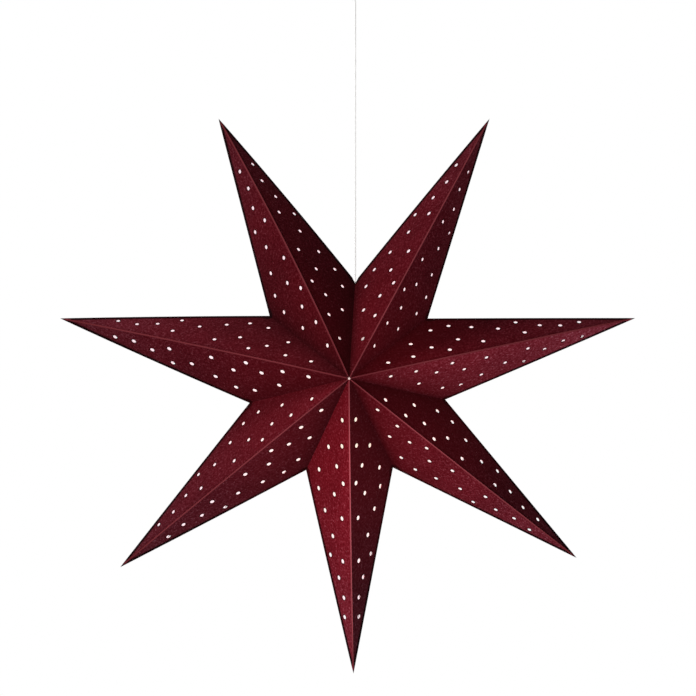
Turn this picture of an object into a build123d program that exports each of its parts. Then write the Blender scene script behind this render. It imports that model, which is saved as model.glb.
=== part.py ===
"""LED star light: a folding card star on a thin cord, with a battery lamp hanging inside it.

Millimetres. +Z is up, the star faces -Y, and the origin is where the hook's collar meets the ceiling.
"""

import os
from math import acos, cos, degrees, hypot, radians, sin, sqrt, tan

from build123d import *

os.makedirs("parts", exist_ok=True)

GAP = 0.3  # between pieces that move on each other
SEAT = 0.05  # between pieces that rest on each other

# The star
POINTS = 7
TIP_RADIUS = 300.0
NOTCH_RADIUS = 102.5
HALF_DEPTH = 80.0
CARD = 0.7
FLAP_WIDTH = 8.0  # glued margin that each leaf turns inwards along its valley
FLAP_END = 14.0
FIN_HEIGHT = 1.5  # glued margin that stands out along each ridge
FIN_END = 8.0
APEX_GAP = 2.5
CORD_HOLE = 3.2
HOLE_RADIUS = 2.1
HOLE_FLATS = 5  # the holes are punched round, and few flats keep the leaves light
# Holes of one facet: distance from the tip along the ridge, and distance from the ridge
HOLES = [
    (56, 12), (77, 13), (97, 20), (115, 13), (118, 33), (139, 29), (160, 14), (164, 40),
    (184, 25), (186, 50), (197, 11), (206, 49), (214, 21), (232, 34), (237, 12), (265, 11),
]

# The hook, the ring and the cord
COLLAR_RADIUS = 6.0
COLLAR_HEIGHT = 2.0
SHANK_RADIUS = 2.0
SHANK_LENGTH = 20.0
WIRE_RADIUS = 1.5
STEM_LENGTH = 5.0
BEND_RADIUS = 5.0
HOOK_RADIUS = 8.0
HOOK_END = 15.0  # how far the hook's end rises past level, in degrees
RING_RADIUS = 9.0
RING_WIRE = 1.0
WIRE_FLATS = 8
CORD_RADIUS = 0.75
CORD_FLATS = 6
CORD_LENGTH = 294.0  # from the loop's knot to the star's notch
LOOP_LEG = 10.0
LOOP_KNOT_RADIUS = 3.2
LOOP_KNOT_HEIGHT = 7.0
KNOT_RADIUS = 2.5
KNOT_HEIGHT = 5.0

# The yoke that carries the star, and the clips that close its seam
BOSS_RADIUS = 4.5
BOSS_TOP = 8.0  # below the notch
BOSS_BOTTOM = 26.5  # below the notch
BRIDGE_TOP = 5.5  # below the notch
BRIDGE_HALF = 7.0
ARM_HALF = 2.5
ARM_DEPTH = 6.0
ARM_LENGTH = 55.0
ARM_FOOT = 8.0
CLIP_LENGTH = 12.0
CLIP_WALL = 0.6
CLIP_GRIP = 5.0
CLIP_PLACES = (45.0, 88.0)  # along the seam, from the notch

# The lamp
LAMP_DROP = 6.7  # cord between the stop knot and the lamp's cap
CAP_NECK = 4.0
CAP_ROOF = 7.6
CAP_DEPTH = 22.0
CAP_RADIUS = 22.0
TUBE_RADIUS = 19.0
TUBE_WALL = 1.6
TUBE_LENGTH = 63.6
TUBE_FLOOR = 1.5
LUG_WIDTH = 2.7
LUG_HEIGHT = 2.4
LUG_REACH = 1.4
TUBE_LUG_DROP = 8.0  # below the tube's rim
CAP_TURN = 30.0
DIFFUSER_TURN = 40.0
CELL_RADIUS = 7.1
CELL_LENGTH = 49.2
CELL_NUB_RADIUS = 2.75
CELL_NUB_HEIGHT = 1.3
CELL_SPACING = 0.35
CELLS = 3
CRADLE_DISC = 1.6
CRADLE_POST = 1.3
CONTACT = 0.5
CONTACT_RADIUS = 5.0
COLLAR_LENGTH = 14.0
COLLAR_RING = 15.6
COLLAR_CEILING = 3.5
COLLAR_SHOULDER = 11.0
DIFFUSER_LUG_DROP = 8.8  # below the collar's top
BOARD_RADIUS = 12.2
BOARD_THICK = 1.6
BOARD_INSET = 0.4
CHIP = 3.5
CHIP_HEIGHT = 1.0
CHIP_CIRCLE = 7.5
CHIPS = 6
LEAD_RADIUS = 0.7
LEAD_HOLE = 1.1
LEAD_OFFSET = 5.0
CUP_RADIUS = 24.0
CUP_WALL = 1.6
CUP_LENGTH = 46.0
CUP_BEVEL = 6.0
NECK_WALL = 2.3
NECK_LENGTH = 12.5
NECK_DROP = 5.0  # below the collar's top
SWITCH_TRAVEL = 4.0
SWITCH_DROP = 24.0  # below the tube's rim, to the middle of its window
STEM_WIDTH = 4.4
STEM_HEIGHT = 6.4
TONGUE = 3.0
TONGUE_DEPTH = 2.3
KNOB_WIDTH = 7.0
KNOB_HEIGHT = 8.5
KNOB_THICK = 1.8
SWITCH_BODY_WIDTH = 8.0
SWITCH_BODY_HEIGHT = 18.0
SWITCH_BODY_DEPTH = 4.2

# Heights that follow from the chain of pieces
bend_angle = degrees(acos(BEND_RADIUS / (BEND_RADIUS + HOOK_RADIUS)))
hook_z = -COLLAR_HEIGHT - STEM_LENGTH - (BEND_RADIUS + HOOK_RADIUS) * sin(radians(bend_angle))
seat_z = hook_z - HOOK_RADIUS
ring_z = seat_z + WIRE_RADIUS + RING_WIRE + GAP - RING_RADIUS
ring_low_z = ring_z - RING_RADIUS
loop_knot_z = ring_low_z - LOOP_LEG
cord_z = loop_knot_z - LOOP_KNOT_HEIGHT
notch_z = cord_z - CORD_LENGTH
star_z = notch_z - NOTCH_RADIUS
stop_knot_z = notch_z - BOSS_BOTTOM - GAP
cap_z = stop_knot_z - KNOT_HEIGHT - LAMP_DROP
roof_z = cap_z - CAP_ROOF
tube_z = roof_z - GAP
floor_z = tube_z - TUBE_LENGTH
cradle_z = floor_z + TUBE_FLOOR
cell_z = cradle_z + CRADLE_DISC + CONTACT
cell_top_z = cell_z + CELL_LENGTH + CELL_NUB_HEIGHT
switch_z = tube_z - SWITCH_DROP
tube_lug_z = tube_z - TUBE_LUG_DROP
diffuser_lug_z = floor_z - DIFFUSER_LUG_DROP
board_z = floor_z - COLLAR_LENGTH + BOARD_INSET + BOARD_THICK
half_wedge = 180.0 / POINTS


def upright(angle):
    """The plane that stands on the Z axis at this angle, with its normal against the turn."""
    a = radians(angle)
    return Plane(origin=(0, 0, 0), x_dir=(cos(a), sin(a), 0), z_dir=(sin(a), -cos(a), 0))


def beside(start, way, normal, along, out):
    """A point along a line in a plane, moved off it along the line's normal."""
    return (start[0] + way[0] * along + normal[0] * out, start[1] + way[1] * along + normal[1] * out)


# One leaf of the star, with its tip on +X and the star's axis on Z: two facets joined by a crease
tip = Vector(TIP_RADIUS, 0, 0)
notch = Vector(NOTCH_RADIUS * cos(radians(half_wedge)), NOTCH_RADIUS * sin(radians(half_wedge)), 0)
apex = Vector(0, 0, HALF_DEPTH)
facet_normal = (notch - tip).cross(apex - tip).normalized()
facet = Plane(origin=tip, x_dir=tip - apex, z_dir=facet_normal)
notch_on_facet = facet.to_local_coords(notch)
apex_on_facet = facet.to_local_coords(apex)

valley_length = hypot(NOTCH_RADIUS, HALF_DEPTH)
valley_way = (-NOTCH_RADIUS / valley_length, HALF_DEPTH / valley_length)
valley_inward = (-valley_way[1], valley_way[0])
flap_last = valley_length - FLAP_END
ridge_length = hypot(TIP_RADIUS, HALF_DEPTH)
ridge_way = (-TIP_RADIUS / ridge_length, HALF_DEPTH / ridge_length)
ridge_outward = (ridge_way[1], -ridge_way[0])
fin_root = -1.4 * CARD
fin_last = ridge_length - FIN_END

with BuildPart() as leaf:
    with BuildSketch(facet):
        Polygon(
            (0, 0),
            (notch_on_facet.X, notch_on_facet.Y),
            (apex_on_facet.X, apex_on_facet.Y),
            align=None,
        )
        offset(amount=2 * CARD, kind=Kind.INTERSECTION)
        with Locations(*[(-along, across) for along, across in HOLES]):
            RegularPolygon(HOLE_RADIUS, HOLE_FLATS, mode=Mode.SUBTRACT)
    extrude(amount=-CARD)
    split(bisect_by=Plane(origin=(0, 0, 0), z_dir=(0, 1, 0)), keep=Keep.TOP)
    split(bisect_by=upright(half_wedge), keep=Keep.TOP)
    split(bisect_by=Plane.XY, keep=Keep.TOP)
    with BuildSketch(upright(half_wedge)):
        Polygon(
            *[
                beside((NOTCH_RADIUS, 0), valley_way, valley_inward, along, depth)
                for along, depth in (
                    (FLAP_END, 0),
                    (FLAP_END + FLAP_WIDTH, FLAP_WIDTH),
                    (flap_last - FLAP_WIDTH, FLAP_WIDTH),
                    (flap_last, 0),
                )
            ],
            align=None,
        )
    extrude(amount=CARD)
    with BuildSketch(Plane.XZ):
        Polygon(
            *[
                beside((TIP_RADIUS, 0), ridge_way, ridge_outward, along, out)
                for along, out in (
                    (FIN_END, fin_root),
                    (FIN_END + FIN_HEIGHT, FIN_HEIGHT),
                    (fin_last - FIN_HEIGHT, FIN_HEIGHT),
                    (fin_last, fin_root),
                )
            ],
            align=None,
        )
    extrude(amount=-CARD)
    mirror(about=Plane.XY)
    with BuildSketch():
        RegularPolygon(APEX_GAP, 2 * POINTS)
    extrude(amount=2 * HALF_DEPTH, both=True, mode=Mode.SUBTRACT)

with BuildPart() as mirrored_leaf:
    mirror(leaf.part, about=Plane.XZ)

# The fourteen leaves in order round the star, from the lowest point; the open seam is at the top
upended = Location((0, 0, star_z), (90, 0, 0))
for number in range(2 * POINTS):
    shape = mirrored_leaf if number % 2 == 0 else leaf
    turn = -90 + number // 2 * 2 * half_wedge
    with BuildPart() as card:
        add(shape.part.moved(upended * Location((0, 0, 0), (0, 0, turn))))
        if number in (POINTS, POINTS + 1):
            with BuildSketch(Plane.XY.offset(notch_z - CORD_HOLE)):
                RegularPolygon(CORD_HOLE, 2 * CORD_FLATS)
            extrude(amount=2 * CORD_HOLE, both=True, mode=Mode.SUBTRACT)
    card.part.label = f"leaf_{number + 1:02d}"
    export_step(card.part, f"parts/leaf_{number + 1:02d}.step")

# The yoke: a boss under the notch, with an arm under each of the two creases that rise from it
groove = acos(facet_normal.Z)
crease = Vector(
    TIP_RADIUS * sin(radians(half_wedge)), 0, TIP_RADIUS * cos(radians(half_wedge)) - NOTCH_RADIUS
).normalized()
arm_first = CARD / sin(groove) + SEAT
arm_flank = arm_first + ARM_HALF / tan(groove)
with BuildPart() as hanger_yoke:
    with Locations((0, 0, notch_z - BOSS_BOTTOM)):
        Cylinder(
            BOSS_RADIUS, BOSS_BOTTOM - BOSS_TOP, align=(Align.CENTER, Align.CENTER, Align.MIN)
        )
    with Locations((0, 0, notch_z - BRIDGE_TOP)):
        Box(
            2 * BRIDGE_HALF,
            2 * ARM_HALF,
            2 * ARM_DEPTH,
            align=(Align.CENTER, Align.CENTER, Align.MAX),
        )
    for side in (1, -1):
        rise = Vector(side * crease.X, 0, crease.Z)
        foot = Vector(0, 0, notch_z) - rise * ARM_FOOT
        inwards = Vector(side * crease.Z, 0, -crease.X)
        with BuildSketch(Plane(origin=foot, x_dir=inwards, z_dir=rise)):
            Polygon(
                (arm_first, 0),
                (arm_flank, ARM_HALF),
                (arm_first + ARM_DEPTH, ARM_HALF),
                (arm_first + ARM_DEPTH, -ARM_HALF),
                (arm_flank, -ARM_HALF),
                align=None,
            )
        extrude(amount=ARM_FOOT + ARM_LENGTH)
    with Locations((0, 0, notch_z - BOSS_BOTTOM)):
        Cylinder(CORD_RADIUS + GAP, 4 * BOSS_BOTTOM, mode=Mode.SUBTRACT)
hanger_yoke.part.label = "hanger_yoke"
export_step(hanger_yoke.part, "parts/hanger_yoke.step")

# Clips pressed over both flaps of the seam, in front and behind
clip_half = CARD + SEAT
with BuildPart() as seam_clips:
    for face in (-1, 1):
        for place in CLIP_PLACES:
            y, z = beside(
                (0, notch_z), (valley_way[1], valley_way[0]), (0, 0), place - CLIP_LENGTH / 2, 0
            )
            seam = Plane(
                origin=(0, face * y, z),
                x_dir=(0, face * valley_way[0], -valley_way[1]),
                z_dir=(0, face * valley_way[1], valley_way[0]),
            )
            with BuildSketch(seam):
                with Locations((FLAP_WIDTH + SEAT + CLIP_WALL, 0)):
                    Rectangle(
                        CLIP_GRIP + CLIP_WALL,
                        2 * (clip_half + CLIP_WALL),
                        align=(Align.MAX, Align.CENTER),
                    )
                with Locations((FLAP_WIDTH + SEAT, 0)):
                    Rectangle(
                        2 * CLIP_GRIP,
                        2 * clip_half,
                        align=(Align.MAX, Align.CENTER),
                        mode=Mode.SUBTRACT,
                    )
            extrude(amount=CLIP_LENGTH)
seam_clips.part.label = "seam_clips"
export_step(seam_clips.part, "parts/seam_clips.step")

# The hook, with its seat under its shank, and the ring that hangs on it
with BuildPart() as ceiling_hook:
    with BuildLine(Plane.XZ) as hook_path:
        stem = Line((0, -COLLAR_HEIGHT / 2), (0, -COLLAR_HEIGHT - STEM_LENGTH))
        bend = JernArc(stem @ 1, (0, -1), BEND_RADIUS, -bend_angle)
        turn_in = (-sin(radians(bend_angle)), -cos(radians(bend_angle)))
        JernArc(bend @ 1, turn_in, HOOK_RADIUS, 180 + bend_angle + HOOK_END)
    with BuildSketch(Plane(origin=(0, 0, -COLLAR_HEIGHT / 2), z_dir=(0, 0, -1))):
        RegularPolygon(WIRE_RADIUS, WIRE_FLATS)
    sweep(path=hook_path.line)
    Cylinder(
        COLLAR_RADIUS, COLLAR_HEIGHT, align=(Align.CENTER, Align.CENTER, Align.MAX)
    )
    Cylinder(SHANK_RADIUS, SHANK_LENGTH, align=(Align.CENTER, Align.CENTER, Align.MIN))
ceiling_hook.part.label = "ceiling_hook"
export_step(ceiling_hook.part, "parts/ceiling_hook.step")

with BuildPart() as hanging_ring:
    with BuildSketch(Plane.XZ):
        with Locations((0, ring_low_z)):
            RegularPolygon(RING_WIRE, WIRE_FLATS)
    revolve(axis=Axis((0, 0, ring_z), (1, 0, 0)))
hanging_ring.part.label = "hanging_ring"
export_step(hanging_ring.part, "parts/hanging_ring.step")

# The cord: a loop over the ring, its knot, the long drop, the stop knot, and the tail into the lamp
loop_half = RING_WIRE + CORD_RADIUS + GAP
with BuildPart() as cord_loop:
    with BuildLine(Plane.XZ) as loop_path:
        Line((-loop_half, loop_knot_z), (-loop_half, ring_low_z))
        RadiusArc((-loop_half, ring_low_z), (loop_half, ring_low_z), loop_half)
        Line((loop_half, ring_low_z), (loop_half, loop_knot_z))
    with BuildSketch(Plane(origin=(-loop_half, 0, loop_knot_z), z_dir=(0, 0, 1))):
        RegularPolygon(CORD_RADIUS, CORD_FLATS)
    sweep(path=loop_path.line)
cord_loop.part.label = "cord_loop"
export_step(cord_loop.part, "parts/cord_loop.step")


def knot(radius, shoulder, height, top):
    """A drawn-tight knot as a bevelled barrel, in the part being built."""
    with BuildSketch(Plane.XZ) as outline:
        Polygon(
            (0, top),
            (shoulder, top),
            (radius, top - 0.3 * height),
            (radius, top - 0.7 * height),
            (0.6 * radius, top - height),
            (0, top - height),
            align=None,
        )
    revolve(outline.sketch, axis=Axis.Z)


with BuildPart() as loop_knot:
    knot(LOOP_KNOT_RADIUS, loop_half + CORD_RADIUS, LOOP_KNOT_HEIGHT, loop_knot_z)
loop_knot.part.label = "loop_knot"
export_step(loop_knot.part, "parts/loop_knot.step")

with BuildPart() as hanging_cord:
    with Locations((0, 0, cord_z)):
        Cylinder(CORD_RADIUS, cord_z - stop_knot_z, align=(Align.CENTER, Align.CENTER, Align.MAX))
hanging_cord.part.label = "hanging_cord"
export_step(hanging_cord.part, "parts/hanging_cord.step")

with BuildPart() as stop_knot:
    knot(KNOT_RADIUS, 0.6 * KNOT_RADIUS, KNOT_HEIGHT, stop_knot_z)
stop_knot.part.label = "stop_knot"
export_step(stop_knot.part, "parts/stop_knot.step")

with BuildPart() as lamp_cord:
    with Locations((0, 0, stop_knot_z - KNOT_HEIGHT)):
        Cylinder(
            CORD_RADIUS,
            LAMP_DROP + CAP_ROOF,
            align=(Align.CENTER, Align.CENTER, Align.MAX),
        )
lamp_cord.part.label = "lamp_cord"
export_step(lamp_cord.part, "parts/lamp_cord.step")

with BuildPart() as lamp_knot:
    knot(KNOT_RADIUS, 0.6 * KNOT_RADIUS, KNOT_HEIGHT, roof_z)
lamp_knot.part.label = "lamp_knot"
export_step(lamp_knot.part, "parts/lamp_knot.step")


def bayonet(start, arc, entry, inner, outer, lug_z, rim_z):
    """Two L-shaped grooves for a pair of lugs: a level run from start over arc, and a way in at entry."""
    half = degrees(LUG_WIDTH / 2 / inner) + degrees(GAP / inner)
    low = lug_z - LUG_HEIGHT / 2 - GAP
    high = lug_z + LUG_HEIGHT / 2 + GAP
    for side in (0, 180):
        runs = ((start - half, arc + 2 * half, low, high), (entry - half, 2 * half, low, rim_z))
        for first, sweep_arc, one_end, other_end in runs:
            with BuildSketch(upright(side + first)) as run:
                Polygon(
                    (inner - LUG_REACH, one_end),
                    (outer, one_end),
                    (outer, other_end),
                    (inner - LUG_REACH, other_end),
                    align=None,
                )
            revolve(run.sketch, axis=Axis.Z, revolution_arc=sweep_arc, mode=Mode.SUBTRACT)


# The lamp's cap, tied to the cord's end, holds the battery tube by a pair of lugs
tube_inner = TUBE_RADIUS - TUBE_WALL
skirt_inner = TUBE_RADIUS + GAP
with BuildPart() as lamp_cap:
    with BuildSketch(Plane.XZ):
        Polygon(
            (CORD_RADIUS + SEAT, cap_z),
            (CAP_NECK, cap_z),
            (1.3 * CAP_NECK, cap_z - 0.4 * CAP_ROOF),
            (CAP_RADIUS - 0.5 * CAP_ROOF, cap_z - 0.6 * CAP_ROOF),
            (CAP_RADIUS, roof_z),
            (CAP_RADIUS, cap_z - CAP_DEPTH),
            (skirt_inner, cap_z - CAP_DEPTH),
            (skirt_inner, roof_z),
            (CORD_RADIUS + SEAT, roof_z),
            align=None,
        )
    revolve(axis=Axis.Z)
    bayonet(
        0, CAP_TURN, CAP_TURN, skirt_inner, TUBE_RADIUS + LUG_REACH + GAP, tube_lug_z, cap_z - 2 * CAP_DEPTH
    )
lamp_cap.part.label = "lamp_cap"
export_step(lamp_cap.part, "parts/lamp_cap.step")

window_height = STEM_HEIGHT + SWITCH_TRAVEL + 2 * GAP
with BuildPart() as battery_tube:
    with BuildSketch(Plane.XZ):
        Polygon(
            (0, floor_z),
            (TUBE_RADIUS, floor_z),
            (TUBE_RADIUS, tube_z),
            (tube_inner, tube_z),
            (tube_inner, cradle_z),
            (0, cradle_z),
            align=None,
        )
    revolve(axis=Axis.Z)
    with Locations((0, 0, tube_lug_z)):
        with PolarLocations(TUBE_RADIUS + LUG_REACH, 2):
            Box(
                LUG_REACH + TUBE_WALL / 2,
                LUG_WIDTH,
                LUG_HEIGHT,
                align=(Align.MAX, Align.CENTER, Align.CENTER),
            )
    with Locations((0, -TUBE_RADIUS, switch_z)):
        Box(STEM_WIDTH + 2 * GAP, 4 * TUBE_WALL, window_height, mode=Mode.SUBTRACT)
    with Locations((0, 0, floor_z)):
        with PolarLocations(LEAD_OFFSET, 2):
            Cylinder(LEAD_HOLE, 4 * TUBE_FLOOR, mode=Mode.SUBTRACT)
battery_tube.part.label = "battery_tube"
export_step(battery_tube.part, "parts/battery_tube.step")

cell_circle = (2 * CELL_RADIUS + CELL_SPACING) / sqrt(3)
with BuildPart() as battery_cradle:
    for low in (cradle_z, cell_top_z + CONTACT):
        with Locations((0, 0, low)):
            Cylinder(
                tube_inner - GAP, CRADLE_DISC, align=(Align.CENTER, Align.CENTER, Align.MIN)
            )
    with Locations((0, 0, cradle_z)):
        Cylinder(
            CRADLE_POST,
            cell_top_z + CONTACT - cradle_z + CRADLE_DISC / 2,
            align=(Align.CENTER, Align.CENTER, Align.MIN),
        )
battery_cradle.part.label = "battery_cradle"
export_step(battery_cradle.part, "parts/battery_cradle.step")

with BuildPart() as battery_cells:
    with Locations((0, 0, cell_z)):
        with PolarLocations(cell_circle, CELLS, start_angle=90):
            Cylinder(CELL_RADIUS, CELL_LENGTH, align=(Align.CENTER, Align.CENTER, Align.MIN))
    with Locations((0, 0, cell_z + CELL_LENGTH)):
        with PolarLocations(cell_circle, CELLS, start_angle=90):
            Cylinder(
                CELL_NUB_RADIUS, CELL_NUB_HEIGHT, align=(Align.CENTER, Align.CENTER, Align.MIN)
            )
battery_cells.part.label = "battery_cells"
export_step(battery_cells.part, "parts/battery_cells.step")

with BuildPart() as contact_leaves:
    for low in (cell_z - CONTACT, cell_top_z):
        with Locations((0, 0, low)):
            with PolarLocations(cell_circle, CELLS, start_angle=90):
                Box(
                    1.6 * CONTACT_RADIUS,
                    1.6 * CONTACT_RADIUS,
                    CONTACT,
                    align=(Align.CENTER, Align.CENTER, Align.MIN),
                )
contact_leaves.part.label = "contact_leaves"
export_step(contact_leaves.part, "parts/contact_leaves.step")

# The slide switch in the tube's wall
face_y = -sqrt(tube_inner**2 - (SWITCH_BODY_WIDTH / 2) ** 2) + SEAT
slot_height = TONGUE + SWITCH_TRAVEL + 2 * GAP
with BuildPart() as switch_body:
    with Locations((0, face_y, switch_z)):
        Box(
            SWITCH_BODY_WIDTH,
            SWITCH_BODY_DEPTH,
            SWITCH_BODY_HEIGHT,
            align=(Align.CENTER, Align.MIN, Align.CENTER),
        )
        Box(TONGUE + 2 * GAP, 2 * (TONGUE_DEPTH + GAP), slot_height, mode=Mode.SUBTRACT)
switch_body.part.label = "switch_body"
export_step(switch_body.part, "parts/switch_body.step")

knob_y = -TUBE_RADIUS - GAP
slider_z = switch_z - SWITCH_TRAVEL / 2
with BuildPart() as switch_slider:
    with Locations((0, knob_y, slider_z)):
        Box(KNOB_WIDTH, KNOB_THICK, KNOB_HEIGHT, align=(Align.CENTER, Align.MAX, Align.CENTER))
        Box(
            STEM_WIDTH,
            face_y - GAP - knob_y,
            STEM_HEIGHT,
            align=(Align.CENTER, Align.MIN, Align.CENTER),
        )
        Box(
            TONGUE,
            face_y + TONGUE_DEPTH - knob_y,
            TONGUE,
            align=(Align.CENTER, Align.MIN, Align.CENTER),
        )
switch_slider.part.label = "switch_slider"
export_step(switch_slider.part, "parts/switch_slider.step")

# The collar under the tube carries the light board and, on its lugs, the diffuser
board_bore = BOARD_RADIUS + SEAT
collar_z = floor_z - COLLAR_LENGTH
with BuildPart() as lamp_collar:
    with BuildSketch(Plane.XZ):
        Polygon(
            (0, floor_z),
            (TUBE_RADIUS, floor_z),
            (TUBE_RADIUS, floor_z - 0.5 * COLLAR_CEILING),
            (COLLAR_RING, floor_z - COLLAR_CEILING),
            (COLLAR_RING, collar_z),
            (board_bore, collar_z),
            (board_bore, board_z),
            (COLLAR_SHOULDER, board_z),
            (COLLAR_SHOULDER, floor_z - COLLAR_CEILING),
            (0, floor_z - COLLAR_CEILING),
            align=None,
        )
    revolve(axis=Axis.Z)
    with Locations((0, 0, diffuser_lug_z)):
        with PolarLocations(COLLAR_RING + LUG_REACH, 2):
            Box(2 * LUG_REACH, LUG_WIDTH, LUG_HEIGHT, align=(Align.MAX, Align.CENTER, Align.CENTER))
    with Locations((0, 0, floor_z)):
        with PolarLocations(LEAD_OFFSET, 2):
            Cylinder(LEAD_HOLE, 4 * COLLAR_CEILING, mode=Mode.SUBTRACT)
lamp_collar.part.label = "lamp_collar"
export_step(lamp_collar.part, "parts/lamp_collar.step")

with BuildPart() as led_leads:
    with Locations((0, 0, cradle_z)):
        with PolarLocations(LEAD_OFFSET, 2):
            Cylinder(
                LEAD_RADIUS, cradle_z - board_z, align=(Align.CENTER, Align.CENTER, Align.MAX)
            )
led_leads.part.label = "led_leads"
export_step(led_leads.part, "parts/led_leads.step")

with BuildPart() as led_board:
    with Locations((0, 0, board_z)):
        Cylinder(BOARD_RADIUS, BOARD_THICK, align=(Align.CENTER, Align.CENTER, Align.MAX))
led_board.part.label = "led_board"
export_step(led_board.part, "parts/led_board.step")

with BuildPart() as led_chips:
    with Locations((0, 0, board_z - BOARD_THICK)):
        Box(CHIP, CHIP, CHIP_HEIGHT, align=(Align.CENTER, Align.CENTER, Align.MAX))
        with PolarLocations(CHIP_CIRCLE, CHIPS):
            Box(CHIP, CHIP, CHIP_HEIGHT, align=(Align.CENTER, Align.CENTER, Align.MAX))
led_chips.part.label = "led_chips"
export_step(led_chips.part, "parts/led_chips.step")

# The frosted diffuser: a cup with a neck that turns on the collar's lugs
neck_inner = COLLAR_RING + GAP
neck_outer = neck_inner + NECK_WALL
neck_z = floor_z - NECK_DROP
shoulder_z = neck_z - NECK_LENGTH
cup_z = shoulder_z - CUP_LENGTH
cup_inner = CUP_RADIUS - CUP_WALL
with BuildPart() as diffuser:
    with BuildSketch(Plane.XZ):
        Polygon(
            (neck_inner, neck_z),
            (neck_outer, neck_z),
            (neck_outer, shoulder_z),
            (CUP_RADIUS, shoulder_z - CUP_BEVEL),
            (CUP_RADIUS, cup_z + CUP_BEVEL),
            (CUP_RADIUS - CUP_BEVEL, cup_z),
            (0, cup_z),
            (0, cup_z + CUP_WALL),
            (cup_inner - CUP_BEVEL, cup_z + CUP_WALL),
            (cup_inner, cup_z + CUP_WALL + CUP_BEVEL),
            (cup_inner, shoulder_z - CUP_WALL - CUP_BEVEL),
            (neck_inner, shoulder_z - CUP_WALL),
            align=None,
        )
    revolve(axis=Axis.Z)
    bayonet(
        -DIFFUSER_TURN,
        DIFFUSER_TURN,
        -DIFFUSER_TURN,
        neck_inner,
        COLLAR_RING + LUG_REACH + GAP,
        diffuser_lug_z,
        neck_z + NECK_LENGTH,
    )
diffuser.part.label = "diffuser"
export_step(diffuser.part, "parts/diffuser.step")
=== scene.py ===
"""LED star light: the looks of the folded card star, the cord that it hangs on and the lamp inside it.

Sizes are in millimetres and become metres where a mesh is made. +Z is up and the star faces -Y.
"""

from math import cos, hypot, pi, radians, sin

import bmesh
import bpy
import numpy as np
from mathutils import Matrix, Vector
from mathutils.geometry import delaunay_2d_cdt


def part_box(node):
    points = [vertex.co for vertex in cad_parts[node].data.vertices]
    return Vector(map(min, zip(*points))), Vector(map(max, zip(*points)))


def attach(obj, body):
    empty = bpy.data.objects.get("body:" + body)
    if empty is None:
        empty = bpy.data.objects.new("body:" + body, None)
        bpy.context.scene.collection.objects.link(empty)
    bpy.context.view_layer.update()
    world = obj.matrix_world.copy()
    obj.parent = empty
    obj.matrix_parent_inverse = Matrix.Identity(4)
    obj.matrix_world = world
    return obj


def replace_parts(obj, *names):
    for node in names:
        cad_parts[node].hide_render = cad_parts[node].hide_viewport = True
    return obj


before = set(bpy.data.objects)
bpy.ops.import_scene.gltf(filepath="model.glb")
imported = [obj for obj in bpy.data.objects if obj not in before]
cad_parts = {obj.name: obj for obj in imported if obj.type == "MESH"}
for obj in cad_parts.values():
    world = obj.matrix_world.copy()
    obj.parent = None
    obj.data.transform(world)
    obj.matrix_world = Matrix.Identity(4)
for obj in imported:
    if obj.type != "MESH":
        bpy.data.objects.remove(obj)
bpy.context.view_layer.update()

MM = 0.001
METRE = 1000.0

# The star: the same driving sizes as its card leaves
POINTS = 7
TIP_RADIUS = 300.0
NOTCH_RADIUS = 102.5
HALF_DEPTH = 80.0
CARD = 0.7
FLAP_WIDTH = 8.0
FLAP_END = 14.0
FLAP_LEAST = 0.3
FIN_HEIGHT = 1.5
FIN_END = 3.0
TOP_NOTCH = 3

# Holes of one facet, up to 2 mm off those of the CAD leaves: distance along the ridge from the tip, and from
# the ridge
HOLES = [
    (57, 12.5), (77.5, 13), (97, 20), (116, 13.5), (118, 33), (139, 28.5), (161, 13.5), (163.5, 40),
    (184, 24.5), (184.5, 50), (198, 11), (204.5, 49), (214, 20.5), (231.5, 33.5), (236.5, 12.5),
    (263.5, 12),
]

# Lists with a value for each point or notch go round counter-clockwise from the lowest point, and so do
# lists with a value for each leaf, two to a point
# How far the folded corners of this star stray from an even one, as (right, up)
TIP_STRAY = [(-2.0, 1.0), (-7.8, 6.7), (-4.4, -1.8), (9.3, 2.8), (-13.3, 6.4), (-16.9, 1.5), (-10.0, -3.7)]
NOTCH_STRAY = [(-5.7, 4.5), (-7.1, 4.8), (-5.2, 1.9), (0.0, 2.4), (-9.1, 5.6), (-10.0, 2.0), (-6.5, 2.1)]
# How far the ridge of each point bends aside at its middle, counter-clockwise
RIDGE_BEND = [-0.6, -0.6, 0.4, -0.2, -3.8, -1.3, -0.6]
# How far the side crease of each leaf bows outwards at its middle
CREASE_BOW = [0.4, 0.0, 0.0, 0.0, 0.4, 0.2, 0.1, 0.7, 1.2, 0.1, 0.5, 0.8, 0.2, 0.4]
# How far the punch was off on each leaf, as (along the ridge, away from it)
PUNCH_SHIFT = [
    (2.1, -0.7), (2.7, -2.1), (1.1, -1.2), (1.1, -2.5), (2.0, -0.9), (1.5, -0.2), (3.1, -0.9),
    (2.0, -0.6), (2.2, -0.3), (5.1, -3.0), (2.9, 1.1), (4.4, -1.5), (2.4, 0.1), (2.5, -1.1),
]
# How wide the pile leaves the holes open on each leaf
HOLE_RADIUS = [2.3, 2.3, 2.05, 2.15, 1.9, 2.1, 1.8, 2.1, 1.85, 2.05, 1.9, 2.3, 1.95, 2.25]

# Painted light and shade on each leaf, standing in for how the light falls on its facets
DIM_LIT, PLAIN, EVEN_LIT, LIGHT, BRIGHT = 0.6, 0.85, 1.0, 1.5, 2.0
LEAF_PAINTED_LIGHT = [
    BRIGHT, DIM_LIT, LIGHT, DIM_LIT, BRIGHT, PLAIN, PLAIN, PLAIN, DIM_LIT, PLAIN, EVEN_LIT, EVEN_LIT, PLAIN, PLAIN,
]
OPEN_PAINTED_LIGHT = 1.2  # as many times that, away from the valley
LEAST_PAINTED_LIGHT = 0.15
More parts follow.
